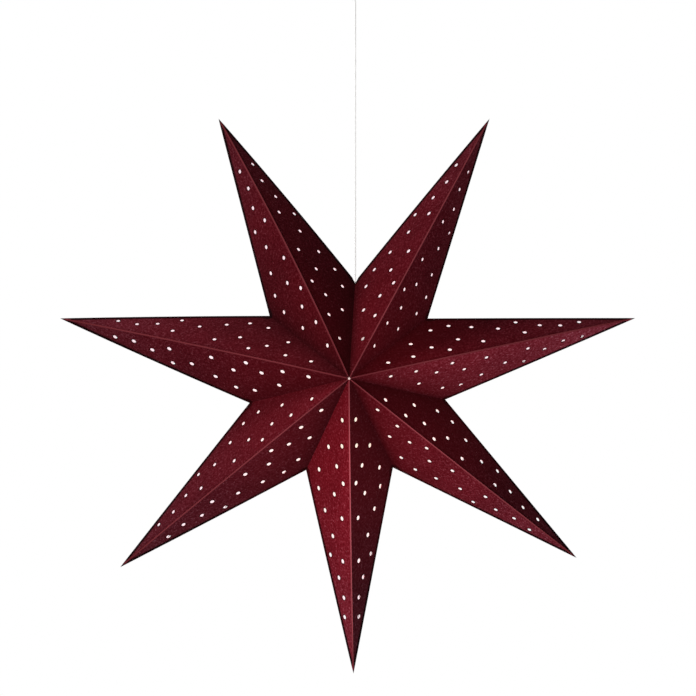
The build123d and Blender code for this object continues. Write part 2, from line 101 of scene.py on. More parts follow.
# Painted shade (or, below nought, painted light) towards the valley of each leaf, standing in for the shade
# in the fold
LIFTED, NONE, FAINT, HALF, DEEP = -0.25, 0.0, 0.2, 0.45, 0.75
VALLEY_SHADE = [
    FAINT, HALF, DEEP, HALF, DEEP, FAINT, HALF, FAINT, DEEP, DEEP, DEEP, DEEP, LIFTED, DEEP,
]
VALLEY_REACH = 45.0
# Painted shade (or, below nought, painted light) the same way, close beside the valley fold
VALLEY_FOLD_SHADE = [
    FAINT, NONE, HALF, NONE, HALF, FAINT, FAINT, HALF, NONE, FAINT, NONE, LIFTED, LIFTED, NONE,
]
FOLD_REACH = 7.5
# How pale the pile looks at each distance from the tip, and how much paler that is on each leaf
PALE_AT = (46.0, 116.0, 194.0, 270.0)
PALE = (0.7, 0.35, 0.22, 0.16)
LESS, SAME, MORE = -0.2, 0.0, 0.25
LEAF_PALE = [LESS, MORE, SAME, SAME, MORE, LESS, SAME, LESS, LESS, LESS, SAME, SAME, SAME, MORE]
# How bare the cut edges are: a share at each distance from the tip, how much on each point's ridge, in the
# holes, and at the foot of the margin
FIN_WORN_AT = (15.0, 60.0, 230.0, 300.0)
FIN_WORN = (0.2, 1.0, 1.0, 0.4)
RIDGE_WEAR = [0.92, 0.46, 0.25, 0.40, 0.18, 0.18, 0.28]
HOLE_WEAR = 0.3
FOOT_WEAR = 0.15

# How a facet is cut and how it curves
RIM_SIDES = 20
RIM_MARGIN = 1.5
# Painted shade round the hole rims, as a share of that at the crease
RIM_SHADE = 0.7
RING_CLEAR = 1.4
EDGE_STEP = 6.0
ROW_INSET = 2.5
RIDGE_ROW_ENDS = (9.0, 5.0)  # how far the rows of points stop from the ends of the ridge and of the crease
CREASE_ROW_ENDS = (16.0, 4.0)
INNER_STEP = 7.0
INNER_CLEAR = 3.4
ROW_PITCH = 0.866  # between rows of even triangles, as a share of their step
CUT_TOLERANCE = 1e-5
# Width of the painted shade along the crease
CREASE_SHADE_WIDTH = 5.4
TIP_CLIP = 8.0
TIP_BLUNT = 2.0
APEX_CLIP = 2.4
VALLEY_CLIP = 1.15  # as many times that clip
APEX_DRAW = 0.6  # share of that clip which stays open once the ends are drawn together
CORD_CLIP = 4.0
CREASE_INSET = 0.8
CREASE_NOSE = 0.35
MIDDLE_SHARE = 1 / 3  # of each corner, in the middle of a facet
FACET_CROWN = 1.0
FACET_WAVE = 0.35
WAVE_ALONG = 23.0
WAVE_ACROSS = 17.0
WAVE_TURN = 1.7  # between the waves of one leaf and the next
WELD_DISTANCE = 0.002

# The cord and its knots
CORD_RADIUS = 0.75
CORD_STRANDS = 3
CORD_LAY = 4.5
CORD_SIDES = 18
CORD_STEP = 0.45
CORD_CORE = 0.78  # shares of the radius
CORD_LOBE = 0.22
WRAP_PITCH = 1.9  # of a knot's turns, in radii of the cord
WRAP_STEPS = 56  # to a turn
WRAP_TUCK = 0.3  # of a turn, in which an end tucks into the middle
WRAP_UNEVEN = 0.05
WRAP_SAG = 0.12
LOOP_STEPS = 120
LOOP_CLOSE = 0.4  # share of its half width that the loop's ends keep
LOOP_TUCK = 2.5  # how far its ends reach into the knot
LOOP_OPEN = 2.0  # above the knot, where the loop has its whole width


def box_of(node):
    """The two corners of a node's box, in millimetres."""
    return [np.array(corner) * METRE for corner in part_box(node)]


# Heights, read from the frame
cord_top = box_of("hanging_cord")[1][2]
stop_knot_top = box_of("stop_knot")[1][2]
cap_roof = box_of("lamp_cord")[0][2]
star_z = box_of("leaf_01")[0][2] + TIP_RADIUS
notch_z = star_z + NOTCH_RADIUS
lamp_heart = (0, 0, sum(corner[2] for corner in box_of("diffuser")) / 2 * MM)

UP = np.array([0.0, 0.0, 1.0])
THROUGH = np.array([0.0, 1.0, 0.0])  # from the front of the star to its back


def unit(vectors):
    """One vector, or rows of vectors, at a length of one."""
    return vectors / np.linalg.norm(vectors, axis=-1, keepdims=True)


def round_turn(count):
    """Even angles round a circle."""
    return np.arange(count) * 2 * pi / count


def turned_to(vector, guide):
    """The unit vector along this line that points the guide's way."""
    vector = unit(vector)
    return vector if vector @ guide > 0 else -vector


def put(name, data):
    """A new object in the scene."""
    made = bpy.data.objects.new(name, data)
    bpy.context.scene.collection.objects.link(made)
    return made


def new_piece(name, points, faces, materials=(), face_materials=None):
    """A mesh piece at the origin, from points in millimetres."""
    mesh = bpy.data.meshes.new(name)
    mesh.from_pydata((np.asarray(points) * MM).tolist(), [], faces)
    for material in materials:
        mesh.materials.append(material)
    if face_materials is not None:
        mesh.polygons.foreach_set("material_index", np.asarray(face_materials, np.int32))
    return put(name, mesh)


def round_off(piece, angle):
    """Smooth shading that keeps edges sharper than this angle."""
    mesh = piece.data
    mesh.polygons.foreach_set("use_smooth", np.ones(len(mesh.polygons), bool))
    mesh.set_sharp_from_angle(angle=radians(angle))


# Materials


def new_material(name, **sockets):
    """A material whose shader has these sockets set; returns it with its node tree and shader."""
    material = bpy.data.materials.new(name)
    material.use_nodes = True
    tree = material.node_tree
    shader = tree.nodes["Principled BSDF"]
    for socket, value in sockets.items():
        shader.inputs[socket.replace("_", " ")].default_value = value
    return material, tree, shader


def add_node(tree, kind, inputs=(), **settings):
    """A node with its settings, and inputs that are constants or come from other nodes."""
    made = tree.nodes.new("ShaderNode" + kind)
    for key, value in settings.items():
        setattr(made, key, value)
    for key, value in dict(inputs).items():
        if isinstance(value, bpy.types.NodeSocket):
            tree.links.new(value, made.inputs[key])
        else:
            made.inputs[key].default_value = value
    return made


def place_of(tree):
    return add_node(tree, "TexCoord").outputs["Object"]


def noise(tree, scale, detail=3.0, roughness=0.6, place=None):
    """Noise on the piece's own place, with about this many features to a metre."""
    inputs = {"Vector": place or place_of(tree), "Scale": scale, "Detail": detail, "Roughness": roughness}
    return add_node(tree, "TexNoise", inputs).outputs["Fac"]


def ramp(source, low, high, first, last):
    """Maps low to first and high to last, and holds outside."""
    inputs = {"Value": source, "From Min": low, "From Max": high, "To Min": first, "To Max": last}
    return add_node(source.id_data, "MapRange", inputs, clamp=True).outputs["Result"]


MIX_FIRST, MIX_LAST, MIX_RESULT = 6, 7, 2  # the colour sockets of a mix node


def blend_colours(factor, first, last):
    """Goes from one colour to another; each is a tuple or comes from another node."""
    first, last = ((*colour, 1) if isinstance(colour, tuple) else colour for colour in (first, last))
    inputs = {"Factor": factor, MIX_FIRST: first, MIX_LAST: last}
    return add_node(factor.id_data, "Mix", inputs, data_type="RGBA").outputs[MIX_RESULT]


def scaled(colour, factor):
    """A colour made lighter or darker by a varying factor."""
    inputs = {0: colour, "Scale": factor}
    return add_node(colour.id_data, "VectorMath", inputs, operation="SCALE").outputs["Vector"]


def multiply(first, second):
    return add_node(first.id_data, "Math", {0: first, 1: second}, operation="MULTIPLY").outputs["Value"]


def plus(first, second):
    return add_node(first.id_data, "Math", {0: first, 1: second}, operation="ADD").outputs["Value"]


def feed(shader, socket, source):
    shader.id_data.links.new(source, shader.inputs[socket])


def bump(shader, height, strength, depth):
    inputs = {"Height": height, "Strength": strength, "Distance": depth * MM}
    feed(shader, "Normal", add_node(shader.id_data, "Bump", inputs).outputs["Normal"])


def attribute(tree, name):
    return add_node(tree, "Attribute", attribute_name=name).outputs["Fac"]


def distance_from(tree, middle):
    inputs = {0: place_of(tree), 1: middle}
    return add_node(tree, "VectorMath", inputs, operation="DISTANCE").outputs["Value"]


def near_lamp(tree, near, far, first, last):
    """Goes from one value to another over this range of distances from the lamp, in metres."""
    return ramp(distance_from(tree, lamp_heart), near, far, first, last)


def velvet_finish():
    """Wine-red flock: mottled pile with pale ends, painted light and shade on each leaf and towards its
    valley, painted shade along the folds and round the holes, and a faint painted glow near the lamp.
    """
    material, tree, shader = new_material(
        "wine_velvet", Roughness=0.95, Specular_IOR_Level=0.02, Emission_Color=(0.55, 0.02, 0.03, 1),
        Sheen_Weight=0.05, Sheen_Roughness=0.4, Sheen_Tint=(0.8, 0.25, 0.34, 1),
    )
    clumps = noise(tree, 470, detail=6, roughness=0.68)
    pile = noise(tree, 2600, detail=2)
    clouds = noise(tree, 28, detail=2)
    mottle = plus(multiply(clumps, 0.75), multiply(pile, 0.25))
    pale = attribute(tree, "pale")
    lying = blend_colours(pale, (0.052, 0.0007, 0.0023), (0.052, 0.0041, 0.0075))
    standing = blend_colours(pale, (0.098, 0.0053, 0.0102), (0.096, 0.0168, 0.0260))
    fibre_ends = blend_colours(pale, (0.165, 0.0300, 0.0400), (0.170, 0.0700, 0.0900))
    felt = blend_colours(ramp(mottle, 0.42, 0.585, 0, 1), lying, standing)
    wine = blend_colours(ramp(mottle, 0.56, 0.65, 0, 1), felt, fibre_ends)
    # Painted light and shade: each leaf's level and its valley shade scale the colour
    painted_light = attribute(tree, "painted_light")
    toned = scaled(wine, multiply(painted_light, ramp(clouds, 0.3, 0.7, 0.9, 1.1)))
    # Painted shade along the folds and round the hole rims
    pressed = ramp(attribute(tree, "pressed"), 0.3, 0.5, 1, 0.08)
    feed(shader, "Base Color", scaled(toned, pressed))
    # A faint painted glow near the lamp, where the card is lit through from inside
    seep = multiply(near_lamp(tree, 0.05, 0.17, 0.06, 0), ramp(painted_light, 0.1, 0.8, 0, 1))
    feed(shader, "Emission Strength", seep)
    bump(shader, pile, 0.5, 0.35)
    return material


def fold_shade_finish():
    """The velvet on the fold itself, painted nearly black as shade along the folded edge."""
    material, tree, shader = new_material("pressed_fold", Roughness=1.0, Specular_IOR_Level=0.0)
    pile = noise(tree, 2600, detail=2)
    feed(shader, "Base Color", blend_colours(pile, (0.006, 0.0004, 0.0010), (0.014, 0.0010, 0.0020)))
    bump(shader, pile, 0.4, 0.2)
    return material


def paper_finish():
    """The white inside of the card, with the lamp's light painted on as a glow, warmer close to the lamp."""
    material, tree, shader = new_material("glow_painted_paper", Roughness=0.8, Specular_IOR_Level=0.2)
    fibre = noise(tree, 900, detail=4)
    feed(shader, "Base Color", blend_colours(fibre, (0.78, 0.76, 0.75), (0.87, 0.85, 0.84)))
    # The lamp's light on the inside is painted on as a glow
    far = near_lamp(tree, 0.05, 0.16, 0, 1)
    feed(shader, "Emission Color", blend_colours(far, (1.0, 0.85, 0.76), (1.0, 0.82, 0.91)))
    feed(shader, "Emission Strength", near_lamp(tree, 0.06, 0.26, 0.36, 0.245))
    bump(shader, fibre, 0.3, 0.1)
    material.cycles.emission_sampling = "NONE"
    return material


def edge_finish():
    """The card's cut edge: pale pink core, with the velvet's fibres over it where it isn't frayed, and a
    painted glow on the bare core near the lamp.
    """
    material, tree, shader = new_material(
        "cut_edge", Roughness=0.85, Specular_IOR_Level=0.2, Emission_Color=(1.0, 0.16, 0.2, 1)
    )
    fibre = noise(tree, 1500)
    core = blend_colours(fibre, (0.26, 0.045, 0.060), (0.54, 0.105, 0.130))
    frayed = attribute(tree, "frayed")
    feed(shader, "Base Color", blend_colours(frayed, (0.085, 0.0035, 0.0070), core))
    # Painted glow of the bare core near the lamp
    seep = multiply(frayed, near_lamp(tree, 0.06, 0.16, 0.3, 0))
    feed(shader, "Emission Strength", seep)
    bump(shader, fibre, 0.4, 0.2)
    return material


def cord_finish():
    """White twisted cord: fine fibres along the strands and painted shade between them."""
    material, tree, shader = new_material(
        "white_cord", Roughness=0.85, Specular_IOR_Level=0.25, Sheen_Weight=0.2
    )
    fibre = noise(tree, 3500)
    strand_gap_shade = attribute(tree, "strand_gap_shade")
    white = blend_colours(fibre, (0.95, 0.95, 0.94), (0.99, 0.99, 0.98))
    feed(shader, "Base Color", scaled(white, ramp(strand_gap_shade, 0, 1, 1, 0.93)))
    bump(shader, fibre, 0.4, 0.1)
    return material


def metal_finish(name, colour, smooth, brushed):
    """Metal with fine wear, drawn out one way where it is brushed."""
    material, tree, shader = new_material(name, Metallic=1.0)
    stretch = (1, 1, 0.06) if brushed else (1, 1, 1)
    drawn = add_node(tree, "Mapping", {"Vector": place_of(tree), "Scale": stretch})
    wear = noise(tree, 2200, detail=4, place=drawn.outputs["Vector"])
    patches = noise(tree, 160)
    dull = tuple(0.86 * c for c in colour)
    feed(shader, "Base Color", blend_colours(patches, dull, colour))
    feed(shader, "Roughness", ramp(wear, 0.3, 0.7, smooth, smooth + 0.16))
    bump(shader, wear, 0.15, 0.03)
    return material


def plastic_finish(name, colour, rough=0.45):
    """Moulded plastic: a fine spark-eroded grain and a faint cloudiness."""
    material, tree, shader = new_material(name, Specular_IOR_Level=0.45)
    grain = noise(tree, 2400, detail=2)
    clouds = noise(tree, 45)
    shade = tuple(0.93 * c for c in colour)
    feed(shader, "Base Color", blend_colours(clouds, shade, colour))
    feed(shader, "Roughness", ramp(grain, 0.3, 0.7, rough - 0.06, rough + 0.1))
    bump(shader, grain, 0.25, 0.05)
    return material


def frosted_finish():
    """The diffuser: milky plastic that glows evenly, a touch brighter towards its middle."""
    material, tree, shader = new_material(
        "frosted_glow", Roughness=0.55, Emission_Color=(1.0, 0.86, 0.66, 1)
    )
    frost = noise(tree, 1800)
    feed(shader, "Base Color", blend_colours(frost, (0.62, 0.61, 0.58), (0.70, 0.69, 0.66)))
    feed(shader, "Emission Strength", near_lamp(tree, 0.02, 0.045, 0.5, 0.28))
    bump(shader, frost, 0.35, 0.08)
    return material


def chip_finish():
    """Light-emitting chips: yellow phosphor with a lit heart."""
    material, tree, shader = new_material(
        "chip_phosphor", Roughness=0.25, Emission_Color=(1.0, 0.88, 0.62, 1)
    )
    grain = noise(tree, 5000, detail=2)
    feed(shader, "Base Color", blend_colours(grain, (0.86, 0.70, 0.20), (0.95, 0.83, 0.38)))
    feed(shader, "Emission Strength", ramp(grain, 0.3, 0.7, 1.8, 2.2))
    return material


leaf_finishes = (velvet_finish(), paper_finish(), edge_finish(), fold_shade_finish())
white_cord = cord_finish()
plated = metal_finish("plated_steel", (0.42, 0.42, 0.43), 0.2, brushed=False)
yoke_plastic = plastic_finish("yoke_plastic", (0.76, 0.76, 0.73))
lamp_plastic = plastic_finish("lamp_plastic", (0.80, 0.80, 0.78))
cradle_plastic = plastic_finish("cradle_plastic", (0.016, 0.016, 0.018), 0.5)


# The flat facet that every leaf repeats

MARKS = [1 << bit for bit in range(7)]
RIDGE, VALLEY, CREASE, TIP_END, APEX_END, NOTCH_END, RIM = MARKS

half_wedge = pi / POINTS
ridge_length = hypot(TIP_RADIUS, HALF_DEPTH)
ridge_way = np.array([-TIP_RADIUS, 0, HALF_DEPTH]) / ridge_length
from_tip = np.array([NOTCH_RADIUS * cos(half_wedge) - TIP_RADIUS, NOTCH_RADIUS * sin(half_wedge), 0])
notch_u = from_tip @ ridge_way
notch_v = np.linalg.norm(from_tip - notch_u * ridge_way)
FLAT_NOTCH = np.array([notch_u, notch_v])
FLAT_APEX = np.array([ridge_length, 0.0])
crease_length = np.linalg.norm(FLAT_NOTCH)
valley_length = np.linalg.norm(FLAT_APEX - FLAT_NOTCH)
crease_way = FLAT_NOTCH / crease_length
crease_inward = np.array([crease_way[1], -crease_way[0]])
valley_way = (FLAT_APEX - FLAT_NOTCH) / valley_length
valley_inward = turned_to(np.array([-valley_way[1], valley_way[0]]), -FLAT_NOTCH)
# This far from the ridge, along the facet, the facet is one card's thickness to the side of it
RIDGE_INSET = CARD * notch_v / from_tip[1]


def run_of(start, end, step):
    """Points along a straight run at about this step, from its start up to but not at its end."""
    count = max(1, round(np.linalg.norm(end - start) / step))
    return start + (end - start) * (np.arange(count) / count)[:, None]


def facet_pattern(punch_shift, hole_radius, with_cord_hole):
    """One facet laid flat: u runs along the ridge from the tip, and v away from the ridge.

    The outline stops short of the tip, of the apex and, where the cord passes, of the notch. Between it and
    the round holes lie a ring of points round each hole, a row along the ridge and the crease, and an even
    grid, and Delaunay triangles join them.
    """
    ridge_start = np.array([TIP_CLIP, RIDGE_INSET])
    ridge_end = np.array([ridge_length - APEX_CLIP, RIDGE_INSET])
    valley_start = FLAT_APEX - valley_way * VALLEY_CLIP * APEX_CLIP
    crease_last = (TIP_CLIP - CREASE_INSET * crease_inward[0]) / crease_way[0]
    crease_end = crease_way * crease_last + crease_inward * CREASE_INSET
    corner = FLAT_NOTCH + valley_way * CREASE_INSET / (valley_way @ crease_inward)
    runs = [(RIDGE, ridge_start, ridge_end), (APEX_END, ridge_end, valley_start)]
    if with_cord_hole:
        beside_valley = FLAT_NOTCH + valley_way * CORD_CLIP
        beside_crease = FLAT_NOTCH - crease_way * CORD_CLIP + crease_inward * CREASE_INSET
        runs += [
            (VALLEY, valley_start, beside_valley),
            (NOTCH_END, beside_valley, beside_crease),
            (CREASE, beside_crease, crease_end),
        ]
    else:
        runs += [(VALLEY, valley_start, corner), (CREASE, corner, crease_end)]
    runs.append((TIP_END, crease_end, ridge_start))

    outline = [run_of(start, end, EDGE_STEP) for _, start, end in runs]
    marks = [np.full(len(points), mark) for (mark, _, _), points in zip(runs, outline)]
    for here, (before, _, _) in zip(marks, [runs[-1], *runs[:-1]]):
        here[0] |= before
    edge_points = np.concatenate(outline)
    edge_marks = np.concatenate(marks)

    turn = round_turn(RIM_SIDES)
    circle = np.stack((np.cos(turn), np.sin(turn)), 1)
    centres = np.array(HOLES) + punch_shift
    rims = (centres[:, None] + hole_radius * circle).reshape(-1, 2)
    rings = (centres[:, None] + (hole_radius + RIM_MARGIN) * circle).reshape(-1, 2)

    after_tip, before_apex = RIDGE_ROW_ENDS
    ridge_row = run_of(
        ridge_start + (after_tip, ROW_INSET), ridge_end + (-before_apex, ROW_INSET), EDGE_STEP
    )
    after_tip, before_notch = CREASE_ROW_ENDS
    inset = crease_inward * (CREASE_INSET + CREASE_SHADE_WIDTH)
    crease_row = run_of(
        crease_way * after_tip + inset, crease_way * (crease_length - before_notch) + inset, EDGE_STEP
    )
    rows = np.arange(0, notch_v, INNER_STEP * ROW_PITCH)
    across, along = np.meshgrid(rows, np.arange(0, ridge_length, INNER_STEP), indexing="ij")
    along = along + (np.arange(len(rows)) % 2 * INNER_STEP / 2)[:, None]
    grid = np.stack((along.ravel(), across.ravel()), 1)
    clear = np.minimum.reduce(
        [
            grid[:, 1] - RIDGE_INSET,
            grid @ crease_inward - CREASE_INSET,
            (grid - FLAT_NOTCH) @ valley_inward,
        ]
    )
    inner = np.concatenate((ridge_row, crease_row, grid[clear > INNER_CLEAR]))
    to_hole = np.linalg.norm(inner[:, None] - centres, axis=2).min(1)
    inner = inner[to_hole > hole_radius + RIM_MARGIN + RING_CLEAR]

    points = np.concatenate((edge_points, rims, rings, inner))
    edge_count, rim_count = len(edge_points), len(rims)
    edge_ids = np.arange(edge_count)
    rim_ids = np.arange(rim_count)
    next_on_rim = rim_ids // RIM_SIDES * RIM_SIDES + (rim_ids + 1) % RIM_SIDES
    edge_loop = np.stack((edge_ids, np.roll(edge_ids, -1)), 1)
    rim_loops = np.stack((rim_ids, next_on_rim), 1) + edge_count
    loops = np.concatenate((edge_loop, rim_loops))
    cut = delaunay_2d_cdt([Vector(p) for p in points], loops.tolist(), [], 1, CUT_TOLERANCE)
    triangles = np.array(cut[2])
    rim_of = np.full(len(points), -1)
    rim_of[edge_count : edge_count + rim_count] = rim_ids // RIM_SIDES
    corner_rims = rim_of[triangles]
    inside_hole = (corner_rims == corner_rims[:, :1]).all(1) & (corner_rims[:, 0] >= 0)
    triangles = triangles[~inside_hole]

    marks = np.zeros(len(points), np.int64)
    marks[:edge_count] = edge_marks
    drawn = marks & APEX_END > 0
    points[drawn] = FLAT_APEX + APEX_DRAW * (points[drawn] - FLAT_APEX)
    marks[edge_count : edge_count + rim_count] = RIM
    return {
        "points": points,
        "triangles": triangles,
        "marks": marks,
        "rim": (marks == RIM).astype(float),
        "borders": borders_of(triangles),
    }


def borders_of(triangles):
    """Edges that only one triangle has, with that triangle on their left."""
    edges = np.concatenate((triangles[:, [0, 1]], triangles[:, [1, 2]], triangles[:, [2, 0]]))
    span = triangles.max() + 1
    lone = ~np.isin(edges[:, 0] * span + edges[:, 1], edges[:, 1] * span + edges[:, 0])
    return edges[lone]


# The fourteen leaves


def strayed(radius, turn, stray):
    """A corner of the star in its middle plane, this many points round from the lowest, with its stray."""
    angle = -pi / 2 + turn * 2 * pi / POINTS
    return np.array([radius * cos(angle) + stray[0], 0.0, star_z + radius * sin(angle) + stray[1]])


tips = [strayed(TIP_RADIUS, k, TIP_STRAY[k]) for k in range(POINTS)]
notches = [strayed(NOTCH_RADIUS, k + 0.5, NOTCH_STRAY[k]) for k in range(POINTS)]
star_middle = np.array([0.0, 0.0, star_z])


def facet_places(pattern, tip, notch, apex, bow, bend, wave_turn):
    """Carries the flat facet to its place by its shares of tip, notch and apex, and works out its rails.

    The crease bows outwards, the ridge bends aside and the facet crowns, all fading out at the corners. The
    inside lies one card below, mitred at the ridge and the crease. The ridge margin has two rails above the
    ridge, the valley flap two rails below the valley, and the crease one nose in the middle plane.
    """
    flat = pattern["points"]
    of_notch = flat[:, 1] / notch_v
    of_apex = (flat[:, 0] - of_notch * notch_u) / ridge_length
    shares = np.stack((1 - of_notch - of_apex, of_notch, of_apex), 1)
    out = turned_to(np.cross(apex - tip, notch - tip), apex - star_middle)
    ridge_side = turned_to(np.cross(tip - star_middle, THROUGH), notch - tip)
    valley_side = turned_to(np.cross(notch - star_middle, THROUGH), tip - notch)
    ridge_in = turned_to(np.cross(ridge_side, apex - tip), -out)
    valley_in = turned_to(np.cross(valley_side, apex - notch), -out)
    crease_in = turned_to(np.cross(notch - tip, THROUGH), star_middle - tip)
    tip_in = unit(star_middle - tip)

    def bowed(along):
        return -crease_in * (bow * 4 * along * (1 - along))[:, None]

    along = of_notch / np.maximum(shares[:, 0] + of_notch, 1e-6)
    waves = np.sin(flat[:, 0] / WAVE_ALONG + wave_turn) * np.cos(flat[:, 1] / WAVE_ACROSS + 2 * wave_turn)
    crown = shares.prod(1) / MIDDLE_SHARE**3 * (FACET_CROWN + FACET_WAVE * waves)
    outer = shares @ np.stack((tip, notch, apex)) + bowed(along) * ((1 - of_apex) ** 2)[:, None]
    outer += out * crown[:, None]
    aside = unit(np.cross(tip - star_middle, THROUGH))
    bent = aside * (bend * 4 * shares[:, 0] * of_apex)[:, None]
    outer += bent

    marks = pattern["marks"]
    on_ridge, on_valley, on_crease = (marks & mark > 0 for mark in (RIDGE, VALLEY, CREASE))
    ridge_line = tip + (apex - tip) * (flat[:, :1] / ridge_length) + bent
    crease_along = flat @ crease_way / crease_length
    crease_line = tip + (notch - tip) * crease_along[:, None] + bowed(crease_along)
    lean = out @ valley_side
    below, beside = np.linalg.solve([[1, lean], [lean, 1]], [-CARD, CARD])
    inner = outer - CARD * out
    inner[on_crease] = (crease_line + crease_in * CARD / -(out @ crease_in))[on_crease]
    inner[on_valley] = outer[on_valley] + below * out + beside * valley_side
    inner[on_ridge] = (ridge_line + ridge_in * CARD / -(out @ ridge_in))[on_ridge]
    corner = on_valley & on_crease
    planes = np.stack((out, valley_side, THROUGH))
    inner[corner] = np.linalg.solve(planes, [out @ notch - CARD, valley_side @ notch + CARD, 0])

    from_end = np.minimum(flat[:, 0] - TIP_CLIP, ridge_length - APEX_CLIP - flat[:, 0])
    rise = (FIN_HEIGHT * np.clip(from_end / FIN_END, 0, 1))[:, None]
    drop = ((ridge_line - outer) @ -ridge_in)[:, None]
    from_notch = np.linalg.norm(flat - FLAT_NOTCH, axis=1)
    flap_room = np.minimum(from_notch - FLAP_END, valley_length - FLAP_END - from_notch)
    reach = np.clip(flap_room, FLAP_LEAST, FLAP_WIDTH)[:, None]
    return {
        "outer": outer,
        "inner": inner,
        "fin_outer": outer - ridge_in * rise * (1 + drop / FIN_HEIGHT),
        "fin_top": ridge_line - ridge_in * rise,
        "flap_end": outer + valley_in * reach,
        "flap_back": outer + valley_in * reach + CARD * valley_side,
        "nose": crease_line + crease_in * CREASE_NOSE,
        "tip": (tip + tip_in * TIP_BLUNT)[None],
        "inner_tip": tip + tip_in[None] * CARD / -(out @ tip_in),
        "turned": np.cross(apex - tip, notch - tip) @ out < 0,
    }


RAILS = ("outer", "inner", "fin_outer", "fin_top", "flap_end", "flap_back", "nose", "tip", "inner_tip")


def strip(first, second, borders):
    """Quads between two rails along border edges that have the facet on their left."""
    i, j = borders.T
    return np.stack((first + j, first + i, second + i, second + j), 1).tolist()


def facet_faces(pattern, start):
    """Faces of one facet, by material, over rails that start at these numbers."""
    triangles, borders, marks = pattern["triangles"], pattern["borders"], pattern["marks"]
    side = marks[borders[:, 0]] & marks[borders[:, 1]]
    at = {mark: borders[side == mark] for mark in MARKS}

    def only(*wanted):
        return int(np.flatnonzero(marks == sum(wanted))[0])

    def cap(corner, *rails):
        return [[rail + corner for rail in rails]]

    outer, inner, fin_outer, fin_top, flap_end, flap_back, nose, tip, inner_tip = (start[r] for r in RAILS)
    ridge_first, ridge_last = only(RIDGE, TIP_END), only(RIDGE, APEX_END)
    valley_first, crease_last = only(VALLEY, APEX_END), only(CREASE, TIP_END)
    velvet_faces = (outer + triangles).tolist()
    velvet_faces += strip(outer, fin_outer, at[RIDGE])
    velvet_faces += [[outer + j, outer + i, tip] for i, j in at[TIP_END]]
    velvet_faces += [[outer + ridge_first, tip, fin_top + ridge_first]]
    fold_faces = strip(outer, nose, at[CREASE])
    fold_faces += [[tip, outer + crease_last, nose + crease_last]]
    paper_faces = (inner + triangles[:, ::-1]).tolist()
    paper_faces += strip(flap_back, inner, at[VALLEY])
    paper_faces += [[inner + i, inner + j, inner_tip] for i, j in at[TIP_END]]
    edge_faces = []
    for mark in (RIM, APEX_END, NOTCH_END):
        edge_faces += strip(outer, inner, at[mark])
    edge_faces += strip(fin_outer, fin_top, at[RIDGE]) + strip(fin_top, inner, at[RIDGE])
    edge_faces += strip(outer, flap_end, at[VALLEY]) + strip(flap_end, flap_back, at[VALLEY])
    edge_faces += [[tip, inner_tip, inner + ridge_first, fin_top + ridge_first]]
    edge_faces += cap(ridge_last, outer, fin_outer, fin_top, inner)
    edge_faces += cap(valley_first, outer, inner, flap_back, flap_end)
    if len(at[NOTCH_END]):
        edge_faces += cap(only(VALLEY, NOTCH_END), outer, flap_end, flap_back, inner)
        edge_faces += cap(only(CREASE, NOTCH_END), outer, inner, nose)
    else:
        edge_faces += cap(only(VALLEY, CREASE), outer, flap_end, flap_back, inner, nose)
    return velvet_faces, paper_faces, edge_faces, fold_faces


def merge_doubles(piece):
    """Welds points that lie on each other and drops points that no face needs."""
    work = bmesh.new()
    work.from_mesh(piece.data)
    bmesh.ops.remove_doubles(work, verts=work.verts, dist=WELD_DISTANCE * MM)
    bmesh.ops.delete(work, geom=[v for v in work.verts if not v.link_faces], context="VERTS")
    work.to_mesh(piece.data)
    work.free()


def set_values(piece, name, values):
    layer = piece.data.attributes.new(name, "FLOAT", "POINT")
    layer.data.foreach_set("value", np.asarray(values, np.float32))


